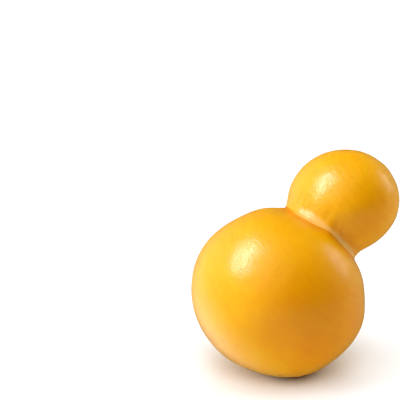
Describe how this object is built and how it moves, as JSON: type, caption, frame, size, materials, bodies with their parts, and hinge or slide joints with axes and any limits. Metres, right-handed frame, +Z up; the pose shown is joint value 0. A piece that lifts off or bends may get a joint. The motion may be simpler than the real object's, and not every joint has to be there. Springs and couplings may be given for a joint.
{
  "type": "scamorza",
  "caption": "Smoked scamorza: a whole pear-shaped stretched-curd cheese, a round body with a smaller head above a pinched neck, lying with its head leaning to one side.",
  "frame": {"origin": "on the resting surface, straight below the centre of the round body", "axes": "+X towards the side the head leans to, the row's longest extent; +Y is its shortest extent; +Z up from the resting surface completes the right-handed frame"},
  "size_m": [0.092, 0.073, 0.0902],
  "materials": {
    "rind": "satin, smooth smoked amber-yellow rind of a soft cheese"
  },
  "bodies": {
    "root": {"scamorza": "rind"}
  },
  "joints": []
}
